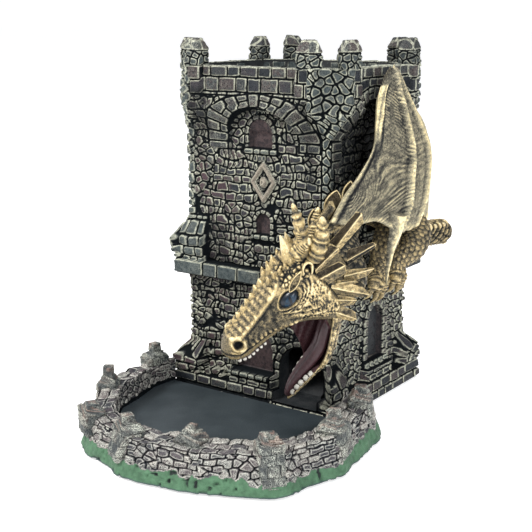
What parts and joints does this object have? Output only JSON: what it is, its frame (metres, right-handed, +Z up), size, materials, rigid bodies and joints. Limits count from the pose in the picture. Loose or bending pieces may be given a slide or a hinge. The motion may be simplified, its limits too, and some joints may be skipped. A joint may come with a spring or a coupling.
{
  "type": "dice tower",
  "caption": "Castle-shaped dice tower: dice dropped in the top fall over inner ramps, leave by a front arch under a dragon's head and roll into a walled tray that pulls away.",
  "frame": {"origin": "middle of the tower's footprint, on the underside of its felt", "axes": "+Z up, -Y towards the rolling tray, +X towards the side the dragon's wing lies on"},
  "size_m": [0.1565, 0.2158, 0.19],
  "materials": {
    "painted_stone": "hand-painted cast resin: dark wash in the joints, grey and plum stones, cream dry-brushed edges",
    "chute_stone": "plain dark-painted resin",
    "tray_stone": "painted resin: plum-brown stones with tan dry-brushing over a green grass skirt",
    "felt": "thin dense dark felt",
    "antique_gold": "antique-gold metallic paint over resin with a dark brown wash",
    "mouth_maroon": "satin maroon paint",
    "eye_blue": "glossy glass-like blue",
    "horn": "gold and bone paint with dark rings",
    "tooth_ivory": "ivory paint",
    "wing_khaki": "khaki-grey membrane with gold dry-brushed folds"
  },
  "bodies": {
    "tower": {"tower_shell": "painted_stone", "tower_felt_pad": "felt", "upper_ramp": "chute_stone", "middle_ramp": "chute_stone", "exit_ramp": "chute_stone", "dragon_body": "antique_gold", "dragon_neck": "antique_gold", "dragon_tail": "antique_gold", "dragon_foreleg": "antique_gold", "dragon_head": "antique_gold", "dragon_lower_jaw": "antique_gold", "dragon_tongue": "mouth_maroon", "dragon_eyes": "eye_blue", "dragon_horns": "horn", "dragon_cheek_spikes": "horn", "dragon_neck_spines": "horn", "dragon_upper_teeth": "tooth_ivory", "dragon_lower_teeth": "tooth_ivory", "dragon_wing": "wing_khaki"},
    "tray": {"tray_casting": "tray_stone", "tray_liner": "felt", "tray_felt_pad": "felt"}
  },
  "joints": [
    {"name": "tray_slide", "type": "slide", "parent": "tower", "child": "tray", "axis": [0, -1, 0], "range_m": [0, 0.08]}
  ]
}
